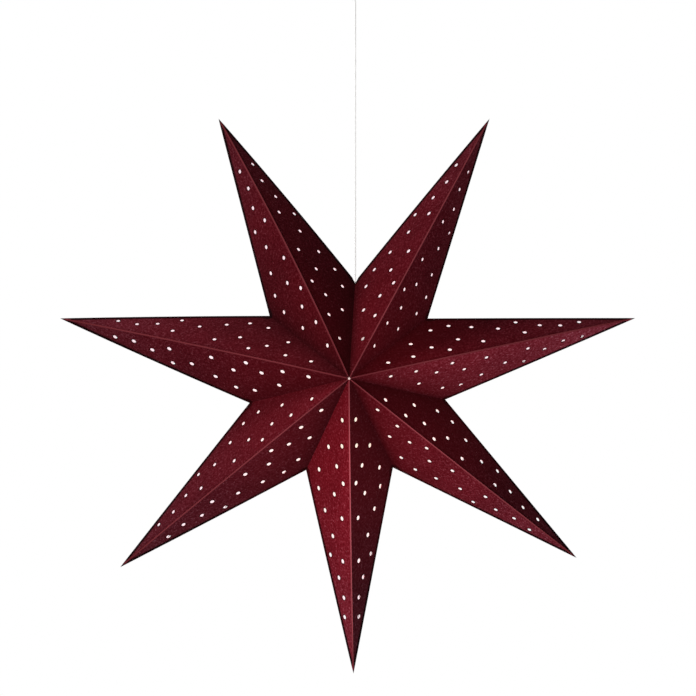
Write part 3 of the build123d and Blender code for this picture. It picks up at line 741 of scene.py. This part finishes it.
def make_leaf(number, pattern):
    """One folded card: a front and a back facet that share the crease, with margins, flaps and holes."""
    point = number // 2
    tip = tips[point]
    notch = notches[point - 1 if number % 2 == 0 else point]
    points, faces, face_materials = [], [], []
    values = {"frayed": [], "pressed": [], "painted_light": [], "pale": []}
    count = 0
    flat = pattern["points"]
    # Painted shade along the crease and round the hole rims
    to_crease = np.maximum(flat @ crease_inward - CREASE_INSET, 0)
    pressed = np.maximum(np.clip(1 - to_crease / CREASE_SHADE_WIDTH, 0, 1), RIM_SHADE * pattern["rim"])
    # Painted light and shade of the leaf, darker (or, where the level is below nought, lighter) towards its
    # valley
    to_valley = (flat - FLAT_NOTCH) @ valley_inward
    valley_light_share = OPEN_PAINTED_LIGHT - VALLEY_SHADE[number] * np.exp(-to_valley / VALLEY_REACH)
    painted_light = LEAF_PAINTED_LIGHT[number] * np.maximum(valley_light_share, LEAST_PAINTED_LIGHT)
    painted_light *= 1 - VALLEY_FOLD_SHADE[number] * np.exp(-np.maximum(to_valley, 0) / FOLD_REACH)
    pale = LEAF_PALE[number] + np.interp(flat[:, 0], PALE_AT, PALE)
    fin_wear = RIDGE_WEAR[point] * np.interp(flat[:, 0], FIN_WORN_AT, FIN_WORN)
    frayed = np.where(pattern["marks"] & RIDGE > 0, fin_wear, HOLE_WEAR)
    for face in (-1, 1):
        apex = star_middle + face * HALF_DEPTH * THROUGH
        places = facet_places(
            pattern, tip, notch, apex, CREASE_BOW[number], RIDGE_BEND[point], number * WAVE_TURN + face
        )
        start = {}
        for rail in RAILS:
            start[rail] = count
            count += len(places[rail])
            points.append(places[rail])
            size = len(places[rail])
            # The nose and the tip carry full painted shade
            folded = np.full(size, 1.0 if rail in ("nose", "tip") else 0.0)
            worn = frayed * (FOOT_WEAR if rail == "fin_outer" else 1)
            values["frayed"].append(worn if size > 1 else np.zeros(1))
            values["pressed"].append(pressed if rail == "outer" else folded)
            values["painted_light"].append(painted_light[:size])
            values["pale"].append(pale[:size])
        for material, group in enumerate(facet_faces(pattern, start)):
            faces += [corners[::-1] if places["turned"] else corners for corners in group]
            face_materials += [material] * len(group)
    name = f"leaf_{number + 1:02d}"
    piece = new_piece(f"{name}_card", np.concatenate(points), faces, leaf_finishes, face_materials)
    for look, parts in values.items():
        set_values(piece, look, np.concatenate(parts))
    merge_doubles(piece)
    round_off(piece, 25)
    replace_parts(piece, name)
    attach(piece, "star")
    return piece


SEAM_LEAVES = (2 * TOP_NOTCH + 1, 2 * TOP_NOTCH + 2)
for number, punch in enumerate(zip(PUNCH_SHIFT, HOLE_RADIUS)):
    make_leaf(number, facet_pattern(*punch, with_cord_hole=number in SEAM_LEAVES))


# Pieces that hang the star


def grid_faces(rows, columns, round_along):
    """Quads over rows of rings, whose last row may join the first."""
    r = np.arange(rows if round_along else rows - 1)[:, None]
    c = np.arange(columns)[None]
    down, right = (r + 1) % rows, (c + 1) % columns
    corners = (r * columns + c, r * columns + right, down * columns + right, down * columns + c)
    return np.stack([np.broadcast_to(x, (r.size, c.size)) for x in corners], 2).reshape(-1, 4).tolist()


def shell(name, grid, material, round_along=False):
    """A closed skin over rows of rings; the first and last rings are closed by a flat face each."""
    rows, columns, _ = grid.shape
    faces = grid_faces(rows, columns, round_along)
    if not round_along:
        faces.append(list(range(columns))[::-1])
        faces.append([(rows - 1) * columns + c for c in range(columns)])
    return new_piece(name, grid.reshape(-1, 3), faces, (material,))


def rings_along(path, radii, sides, guide):
    """Circles across a path: the first axis of each is square to the path and to the guide.

    radii has a row for each path point, and a column for each side where the section isn't round.
    """
    way = unit(np.gradient(path, axis=0))
    first = unit(np.cross(way, guide))
    second = np.cross(way, first)
    angle = round_turn(sides)
    radii = np.broadcast_to(np.asarray(radii, float).reshape(len(path), -1), (len(path), sides))[..., None]
    around = np.cos(angle)[:, None] * first[:, None] + np.sin(angle)[:, None] * second[:, None]
    return path[:, None] + radii * around


def round_ends(path, radius, steps=5):
    """A path lengthened by domed ends: the radius falls along nearly a quarter circle at each end."""
    lean = np.linspace(0, DOME_TURN, steps + 1)[1:]
    first, last = unit(path[0] - path[1]), unit(path[-1] - path[-2])
    head = path[0] + first * radius * np.sin(lean)[::-1, None]
    tail = path[-1] + last * radius * np.sin(lean)[:, None]
    radii = np.concatenate((radius * np.cos(lean)[::-1], np.full(len(path), radius), radius * np.cos(lean)))
    return np.concatenate((head, path, tail)), radii


def spline_points(points, count):
    """Points read from the smooth NURBS line that has these control points."""
    curve = bpy.data.curves.new("route", "CURVE")
    curve.dimensions = "3D"
    spline = curve.splines.new("NURBS")
    spline.points.add(len(points) - 1)
    rows = np.concatenate((np.array(points, float) * MM, np.ones((len(points), 1))), 1)
    spline.points.foreach_set("co", rows.ravel())
    spline.order_u = 3
    spline.use_endpoint_u = True
    spline.resolution_u = max(2, round(count / (len(points) - 1)))
    holder = put("route", curve)
    read = bpy.data.meshes.new_from_object(holder)
    found = np.empty(len(read.vertices) * 3)
    read.vertices.foreach_get("co", found)
    bpy.data.objects.remove(holder)
    bpy.data.curves.remove(curve)
    bpy.data.meshes.remove(read)
    return found.reshape(-1, 3) * METRE


def twisted(name, path, guide):
    """Twisted cord along a path: the section has one lobe for each strand and turns once in each lay."""
    travel = np.concatenate(([0], np.cumsum(np.linalg.norm(np.diff(path, axis=0), axis=1))))
    twist = round_turn(CORD_SIDES)[None] - (travel * 2 * pi / CORD_LAY)[:, None]
    lobes = np.abs(np.cos(twist * CORD_STRANDS / 2))
    radii = CORD_RADIUS * (CORD_CORE + CORD_LOBE * lobes)
    piece = shell(name, rings_along(path, radii, CORD_SIDES, guide), white_cord)
    # Painted shade in the gaps between the strands
    set_values(piece, "strand_gap_shade", 1 - lobes.ravel())
    round_off(piece, 60)
    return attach(piece, "cord")


def wrapped_knot(name, node):
    """A tight knot: cord wound in close turns, with both ends tucked into the middle."""
    low, high = box_of(node)
    wrap = (high[0] - low[0]) / 2 - CORD_RADIUS
    tall = high[2] - low[2] - 2 * CORD_RADIUS
    turns = tall / (WRAP_PITCH * CORD_RADIUS)
    share = np.linspace(0, 1, round(WRAP_STEPS * turns))
    angle = 2 * pi * turns * share
    tuck = np.clip(np.minimum(share, 1 - share) * turns / WRAP_TUCK, 0, 1)
    reach = wrap * np.sin(tuck * pi / 2) ** 0.7 * (1 + WRAP_UNEVEN * np.sin(5 * angle))
    rise = high[2] - CORD_RADIUS - tall * share + WRAP_SAG * np.sin(2 * angle)
    path = np.stack((reach * np.cos(angle), reach * np.sin(angle), rise), 1)
    path[0, :2] = path[1, :2] * 0.5
    path[-1, :2] = path[-2, :2] * 0.5
    piece = twisted(name, path, UP)
    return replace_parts(piece, node)


loop_low, loop_high = box_of("cord_loop")
loop_half = loop_high[0] - CORD_RADIUS
loop_bend = loop_high[2] - CORD_RADIUS - loop_half
drop_route = [(0, 0, cap_roof), (0, 0, stop_knot_top), (0, 0, notch_z), (0, 0, cord_top)]
loop_route = [
    (-LOOP_CLOSE * loop_half, 0, loop_low[2] - LOOP_TUCK),
    (-loop_half, 0, loop_low[2] + LOOP_OPEN),
    (-loop_half, 0, loop_bend),
    (-loop_half, 0, loop_bend + loop_half),
    (loop_half, 0, loop_bend + loop_half),
    (loop_half, 0, loop_bend),
    (loop_half, 0, loop_low[2] + LOOP_OPEN),
    (LOOP_CLOSE * loop_half, 0, loop_low[2] - LOOP_TUCK),
]
drop_path = spline_points(drop_route, (cord_top - cap_roof) / CORD_STEP)
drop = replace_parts(twisted("cord_drop", drop_path, THROUGH), "hanging_cord", "lamp_cord")
loop_path = spline_points(loop_route, LOOP_STEPS)
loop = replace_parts(twisted("cord_loop_strands", loop_path, THROUGH), "cord_loop")
knots = [wrapped_knot(f"{node}_wraps", node) for node in ("loop_knot", "stop_knot", "lamp_knot")]


# The ring's own shape: its steps round the ring and round the wire, and its weld, as (height, spread)
RING_STEPS = 120
RING_SIDES = 20
WELD_AT = pi / 5
WELD_DIP = (0.12, 0.09)
WELD_BEAD = (0.05, 0.03)


def make_ring():
    """A round wire ring that hangs across the hook, with the flattened seam of its weld."""
    low, high = box_of("hanging_ring")
    wire = (high[0] - low[0]) / 2
    radius = (high[2] - low[2]) / 2 - wire
    turn = round_turn(RING_STEPS)
    out = np.stack((0 * turn, np.cos(turn), np.sin(turn)), 1)
    path = (low + high) / 2 + radius * out
    from_weld = turn - WELD_AT
    dip, bead = (tall * np.exp(-((from_weld / wide) ** 2)) for tall, wide in (WELD_DIP, WELD_BEAD))
    thick = wire * (1 - dip + bead)[:, None, None]
    side = round_turn(RING_SIDES)[None, :, None]
    across = np.cos(side) * out[:, None] - np.sin(side) * np.array([1.0, 0, 0])
    piece = shell("ring_wire", path[:, None] + thick * across, plated, round_along=True)
    round_off(piece, 60)
    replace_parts(piece, "hanging_ring")
    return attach(piece, "ring")


# The hook's own sizes
COLLAR_RADIUS = 6.0
COLLAR_HEIGHT = 2.0
SHANK_RADIUS = 2.0
SHANK_LENGTH = 20.0
SHANK_POINT = 5.0
THREAD_PITCH = 1.8
THREAD_DEPTH = 0.55
WIRE_RADIUS = 1.5
STEM_LENGTH = 5.0
BEND_RADIUS = 5.0
HOOK_RADIUS = 8.0
HOOK_END = radians(15)
HOOK_SIDES = 24
DOME_TURN = 0.97 * pi / 2  # how far round a domed end goes
SHANK_SIDES = 32
SHANK_ROWS = 220
SHANK_SUNK = 0.5  # into the collar
CREST_HALF = 0.32  # share of the pitch
THREAD_START = (2.5, 2.0)  # where the thread begins, and over what length it deepens
POINT_CURVE = 0.8
POINT_BLUNT = 0.05
COLLAR_PROFILE = [
    (1.2, -COLLAR_HEIGHT - 0.5), (2.4, -COLLAR_HEIGHT - 0.3), (4.4, -COLLAR_HEIGHT),
    (5.6, -COLLAR_HEIGHT + 0.3), (COLLAR_RADIUS, -0.9), (COLLAR_RADIUS, -0.3),
    (COLLAR_RADIUS - 0.3, 0), (1.2, 0),
]
COLLAR_SIDES = 48


def turned(profile, sides):
    """A profile of (radius, height) points turned about the Z axis."""
    profile = np.array(profile, float)
    angle = round_turn(sides)
    around = np.stack((np.cos(angle), np.sin(angle)), 1)
    flat = profile[:, None, :1] * around[None]
    return np.concatenate((flat, np.broadcast_to(profile[:, None, 1:], (len(profile), sides, 1))), 2)


def join_pieces(name, pieces, material):
    """One piece made of several closed skins, each with its faces outwards."""
    whole = bmesh.new()
    for part in pieces:
        whole.from_mesh(part.data)
        bpy.data.objects.remove(part)
    bmesh.ops.recalc_face_normals(whole, faces=whole.faces)
    mesh = bpy.data.meshes.new(name)
    whole.to_mesh(mesh)
    whole.free()
    mesh.materials.append(material)
    return put(name, mesh)


def arc(radius, middle, angle):
    """Points on a circle that stands in the XZ plane, about a middle given as (x, z)."""
    x, z = middle
    return np.stack((x + radius * np.cos(angle), 0 * angle, z + radius * np.sin(angle)), 1)


def make_hook():
    """A screw hook: a wire bent in two arcs, a stamped collar, and a pointed shank with a thread."""
    bend = np.arccos(BEND_RADIUS / (BEND_RADIUS + HOOK_RADIUS))
    stem_end = -COLLAR_HEIGHT - STEM_LENGTH
    hook_z = stem_end - (BEND_RADIUS + HOOK_RADIUS) * np.sin(bend)
    first = arc(BEND_RADIUS, (-BEND_RADIUS, stem_end), -np.linspace(0, bend, 14)[1:])
    second = arc(HOOK_RADIUS, (0, hook_z), np.linspace(pi - bend, 2 * pi + HOOK_END, 60)[1:])
    stem = np.array([(0, 0, -0.5 * COLLAR_HEIGHT), (0, 0, stem_end)])
    path, radii = round_ends(np.concatenate((stem, first, second)), WIRE_RADIUS)
    wire = shell("hook_wire", rings_along(path, radii, HOOK_SIDES, THROUGH), plated)
    collar = shell("hook_collar", turned(COLLAR_PROFILE, COLLAR_SIDES), plated)

    height = np.linspace(-SHANK_SUNK, SHANK_LENGTH, SHANK_ROWS)[:, None]
    angle = round_turn(SHANK_SIDES)
    cycle = (height / THREAD_PITCH - angle / (2 * pi)) % 1
    crest = np.clip(1 - np.abs(cycle - 0.5) / CREST_HALF, 0, 1)
    begins, deepens = THREAD_START
    start = np.clip((height - begins) / deepens, 0, 1)
    taper = np.clip((SHANK_LENGTH + POINT_BLUNT - height) / SHANK_POINT, 0, 1) ** POINT_CURVE
    radius = (SHANK_RADIUS - THREAD_DEPTH * start * (1 - crest)) * taper
    heights = np.broadcast_to(height, radius.shape)
    places = np.stack((radius * np.cos(angle), radius * np.sin(angle), heights), 2)
    shank = shell("hook_shank", places, plated)
    hook = join_pieces("screw_hook", [wire, collar, shank], plated)
    round_off(hook, 40)
    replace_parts(hook, "ceiling_hook")
    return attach(hook, "hook")


make_ring()
make_hook()


# The yoke's own sizes
BOSS_RADIUS = 4.5
BOSS_TOP = 8.0  # below the notch, as the next two
BOSS_BOTTOM = 26.5
BRIDGE_TOP = 5.5
BRIDGE_HALF = 7.0
BORE_RADIUS = 1.05
ARM_HALF = 2.5
ARM_DEPTH = 6.0
ARM_LENGTH = 55.0
ARM_FOOT = 8.0
ARM_SEAT = 0.05
EDGE_ROUND = 0.5
ARM_END_ROUND = 1.2
BOSS_SIDES = 40
BRIDGE_INSET = 0.02  # keeps the bridge's sides off the arms' sides
BRIDGE_CLEAR = 0.1  # keeps its ends off the bore


def rounded_corners(corners, radius, steps=4):
    """A closed outline whose corners are arcs, each turning from one side's way to the next."""
    corners = np.array(corners, float)
    came = unit(corners - np.roll(corners, 1, 0))
    goes = unit(np.roll(corners, -1, 0) - corners)
    bend = np.arccos(np.clip((came * goes).sum(1), -1, 1))
    inward = unit(goes - came)
    centres = corners + inward * (radius / np.cos(bend / 2))[:, None]
    share = np.linspace(-0.5, 0.5, steps + 1)
    lean = bend[:, None] * share
    along = unit(came + goes)
    arcs = -np.cos(lean)[..., None] * inward[:, None] + np.sin(lean)[..., None] * along[:, None]
    return (centres[:, None] + radius * arcs).reshape(-1, 2)


def carried(outline, path, first, second, ends):
    """An outline carried along a path on two fixed axes; it draws in at each end, as a bevel."""
    middle = outline.mean(0)
    lean = np.linspace(0, pi / 2, 5)
    way = unit(path[-1] - path[0])
    head = path[0] + ends * (1 - np.sin(lean))[:, None] * way
    tail = path[-1] - ends * (1 - np.sin(lean))[::-1, None] * way
    shrink = 1 - ends * (1 - np.cos(lean)) / np.abs(outline - middle).max()
    route = np.concatenate((head[::-1], path[1:-1], tail[::-1]))
    factor = np.concatenate((shrink[::-1], np.ones(len(path) - 2), shrink))
    flat = middle + (outline - middle)[None] * factor[:, None, None]
    return route[:, None] + flat[..., :1] * first + flat[..., 1:] * second


def make_yoke():
    """The moulded yoke: a bored boss, a bridge across it, and an arm under each crease of the top notch.

    The boss is a closed profile turned about the cord. The bridge and the arms are rounded outlines carried
    along straight runs, and an arm's outline has a peak that fits the fold of the card.
    """
    top = notch_z - BOSS_TOP
    low = notch_z - BOSS_BOTTOM
    wall = rounded_corners(
        [(BORE_RADIUS, low), (BOSS_RADIUS, low), (BOSS_RADIUS, top), (BORE_RADIUS, top)], EDGE_ROUND
    )
    boss = shell("yoke_boss", turned(wall, BOSS_SIDES), yoke_plastic, round_along=True)
    side = ARM_HALF - BRIDGE_INSET
    bar = rounded_corners(
        [(-side, -2 * ARM_DEPTH), (side, -2 * ARM_DEPTH), (side, 0), (-side, 0)], EDGE_ROUND
    )
    hang = notch_z - BRIDGE_TOP
    halves = []
    for end in (-1, 1):
        reach = np.linspace(BORE_RADIUS + BRIDGE_CLEAR, BRIDGE_HALF, 9)
        half_run = np.array([(end * x, 0, hang) for x in reach])
        halves.append(shell("yoke_bridge", carried(bar, half_run, THROUGH, UP, EDGE_ROUND), yoke_plastic))
    arms = []
    for number, tip in zip(SEAM_LEAVES, tips[TOP_NOTCH:]):
        notch = notches[TOP_NOTCH]
        rise = unit(tip - notch)
        inwards = turned_to(np.cross(rise, THROUGH), star_middle - tip)
        apex = star_middle - HALF_DEPTH * THROUGH
        out = turned_to(np.cross(apex - tip, notch - tip), apex - star_middle)
        slope = -(out @ inwards) / -(out @ THROUGH)
        peak = CARD / -(out @ inwards) + ARM_SEAT
        flank = peak + ARM_HALF / slope
        foot = peak + ARM_DEPTH
        corners = [(peak, 0), (flank, ARM_HALF), (foot, ARM_HALF), (foot, -ARM_HALF), (flank, -ARM_HALF)]
        outline = rounded_corners(corners, EDGE_ROUND)
        travel = np.linspace(-ARM_FOOT, ARM_LENGTH, 24)
        share = np.clip(travel / np.linalg.norm(tip - notch), 0, 1)
        bow = CREASE_BOW[number] * 4 * share * (1 - share)
        path = notch + rise * travel[:, None] - inwards * bow[:, None]
        arm = carried(outline, path, inwards, THROUGH, ARM_END_ROUND)
        arms.append(shell("yoke_arm", arm, yoke_plastic))
    yoke = join_pieces("yoke_moulding", [boss, *halves, *arms], yoke_plastic)
    round_off(yoke, 40)
    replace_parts(yoke, "hanger_yoke")
    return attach(yoke, "star")


make_yoke()


# The lamp and the clips keep their CAD shapes, with finishes of their own
NODE_FINISHES = {
    "seam_clips": metal_finish("spring_steel", (0.56, 0.56, 0.58), 0.3, brushed=True),
    "lamp_cap": lamp_plastic,
    "battery_tube": lamp_plastic,
    "lamp_collar": lamp_plastic,
    "battery_cradle": cradle_plastic,
    "battery_cells": plastic_finish("cell_jacket", (0.12, 0.13, 0.15), 0.35),
    "contact_leaves": metal_finish("contact_brass", (0.76, 0.60, 0.30), 0.24, brushed=True),
    "switch_body": cradle_plastic,
    "switch_slider": plastic_finish("slider_plastic", (0.55, 0.55, 0.54), 0.4),
    "led_leads": plastic_finish("lead_sleeve", (0.45, 0.02, 0.018), 0.5),
    "led_board": plastic_finish("board_mask", (0.82, 0.82, 0.82), 0.4),
    "led_chips": chip_finish(),
    "diffuser": frosted_finish(),
}
for node, finish in NODE_FINISHES.items():
    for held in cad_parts[node].material_slots:
        held.material = finish


# The camera, the light and the stage

CAMERA_TURN = 4.6  # degrees to the right of straight ahead
CAMERA_RISE = -3.6
CAMERA_AWAY = 2500.0
CAMERA_AIM = (-7.6, 0.0, -420.2)
VIEW_WIDTH = 715.5  # what the picture spans at the aim
SENSOR = 36.0
AMBIENT = 0.28
# Each soft light: where it is from the middle of the star, how wide it is, and its watts
LIGHTS = {
    "side_light": ((-1230, -357, 1430), 700, 28),
    "front_light": ((-43, -1400, -630), 500, 15),
    "back_light": ((500, 1500, 300), 900, 24),
}


def make_camera():
    """Looks at the aim from its turn and rise, with a lens that spans the view's width there."""
    turn, rise = radians(CAMERA_TURN), radians(CAMERA_RISE)
    back = Vector((sin(turn) * cos(rise), -cos(turn) * cos(rise), sin(rise)))
    camera = put("camera", bpy.data.cameras.new("camera"))
    camera.data.sensor_width = SENSOR
    camera.data.lens = SENSOR * CAMERA_AWAY / VIEW_WIDTH
    camera.location = (Vector(CAMERA_AIM) + back * CAMERA_AWAY) * MM
    camera.rotation_mode = "QUATERNION"
    camera.rotation_quaternion = (-back).to_track_quat("-Z", "Y")
    bpy.context.scene.camera = camera


def soft_light(name, place, size, watts):
    """A square soft light that faces the middle of the star; its place is from there, in millimetres."""
    lamp = bpy.data.lights.new(name, "AREA")
    lamp.size = size * MM
    lamp.energy = watts
    light = put(name, lamp)
    light.location = Vector(place) * MM + Vector((0, 0, star_z * MM))
    light.rotation_mode = "QUATERNION"
    light.rotation_quaternion = Vector(place).to_track_quat("Z", "Y")


def white_to_view(tree, plain, target, share=1.0):
    """The plain shader, with this share of even white to the camera, in reflections and through glass."""
    path = add_node(tree, "LightPath")
    seen = plus(path.outputs["Is Camera Ray"], path.outputs["Is Glossy Ray"])
    seen = multiply(plus(seen, path.outputs["Is Transmission Ray"]), share)
    kind = "Background" if target.name == "World Output" else "Emission"
    white = add_node(tree, kind, {"Color": (1, 1, 1, 1)})
    mix = add_node(tree, "MixShader", {0: seen, 1: plain, 2: white.outputs[0]})
    tree.links.new(mix.outputs[0], target.inputs["Surface"])


def make_world(ambient):
    world = bpy.data.worlds.new("studio")
    bpy.context.scene.world = world
    world.use_nodes = True
    tree = world.node_tree
    plain = tree.nodes["Background"]
    plain.inputs["Color"].default_value = (1, 0.97, 0.95, 1)
    plain.inputs["Strength"].default_value = ambient
    white_to_view(tree, plain.outputs[0], tree.nodes["World Output"])


FLOOR_DROP = 2000.0  # below the middle of the star
FLOOR_HALF = 1300.0
FLOOR_WHITE = 0.8  # under the star; the rest shows the floor's own light and shadow
FLOOR_FADE = (0.35, 1.15)  # metres from its middle, over which it fades to the white of the studio


def make_floor():
    """A plain pale floor well below the star."""
    z = star_z - FLOOR_DROP
    corners = [(-1, -1), (1, -1), (1, 1), (-1, 1)]
    floor = new_piece("floor", [(FLOOR_HALF * x, FLOOR_HALF * y, z) for x, y in corners], [(0, 1, 2, 3)])
    material, tree, shader = new_material("pale_floor", Roughness=0.7)
    cloud = noise(tree, 6)
    feed(shader, "Base Color", blend_colours(cloud, (0.80, 0.80, 0.80), (0.84, 0.84, 0.84)))
    share = ramp(distance_from(tree, (0, 0, z * MM)), *FLOOR_FADE, FLOOR_WHITE, 1)
    white_to_view(tree, shader.outputs["BSDF"], tree.nodes["Material Output"], share)
    floor.data.materials.append(material)


make_camera()
make_world(AMBIENT)
make_floor()
for light_name, light_values in LIGHTS.items():
    soft_light(light_name, *light_values)
bpy.context.scene.view_settings.view_transform = "Standard"
